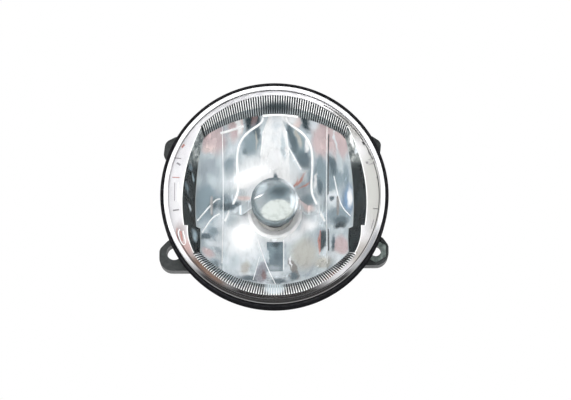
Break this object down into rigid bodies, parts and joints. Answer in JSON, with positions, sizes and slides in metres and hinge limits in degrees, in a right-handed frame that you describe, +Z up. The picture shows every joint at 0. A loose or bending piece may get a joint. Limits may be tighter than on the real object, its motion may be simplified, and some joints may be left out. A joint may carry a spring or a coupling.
{
  "type": "fog light",
  "caption": "Round bumper fog light: clear domed lens, ribbed bezel, tilting reflector with aiming screw, shielded bayonet bulb with electrical socket, sealed housing with mounting ears.",
  "frame": {"origin": "where the optical axis meets the plane of the mounting ears' front faces", "axes": "+Y along the optical axis towards the bulb socket, so the light shines towards -Y; +Z up"},
  "size_m": [0.091, 0.0871, 0.09],
  "materials": {
    "housing": "moulded black, fine grain",
    "lens": "clear, polished",
    "bezel": "metallised plastic, satin",
    "reflector": "vacuum metallised, bright",
    "seal_rubber": "matte",
    "nylon": "natural nylon",
    "zinc_steel": "zinc plated",
    "bulb_glass": "clear quartz",
    "wire": "drawn wire",
    "terminal": "tinned",
    "vent_fabric": "breathable membrane"
  },
  "bodies": {
    "housing": {"housing": "housing", "lens": "lens", "lens_seal": "seal_rubber", "bezel": "bezel", "pivot_cup_left": "nylon", "pivot_cup_right": "nylon", "captive_nut": "zinc_steel", "vent_cap": "seal_rubber", "vent_membrane": "vent_fabric"},
    "reflector": {"reflector": "reflector", "bulb_shield": "reflector", "shield_rivet_left": "zinc_steel", "shield_rivet_right": "zinc_steel", "pivot_stud_left": "nylon", "pivot_stud_right": "nylon", "adjuster_nut": "nylon"},
    "adjuster": {"adjuster_screw": "nylon", "adjuster_seal": "seal_rubber", "adjuster_retainer": "zinc_steel"},
    "bulb": {"bulb_base": "housing", "bulb_seal": "seal_rubber", "bulb_glass": "bulb_glass", "bulb_ferrule": "zinc_steel", "filament": "wire", "lead_front": "wire", "lead_rear": "wire", "terminal_left": "terminal", "terminal_right": "terminal"}
  },
  "joints": [
    {"name": "reflector_tilt", "type": "hinge", "parent": "housing", "child": "reflector", "pos_m": [0, 0.018, 0], "axis": [1, 0, 0], "range_deg": [-3, 3]},
    {"name": "adjuster_turn", "type": "hinge", "parent": "housing", "child": "adjuster", "pos_m": [0, 0.03, -0.031], "axis": [0, 1, 0], "range_deg": [-390, 390]},
    {"name": "bulb_twist", "type": "hinge", "parent": "housing", "child": "bulb", "pos_m": [0, 0.043, 0], "axis": [0, 1, 0], "range_deg": [0, 40]}
  ],
  "couplings": [
    {"joint": "adjuster_turn", "follows": "reflector_tilt", "ratio": -129.85}
  ]
}
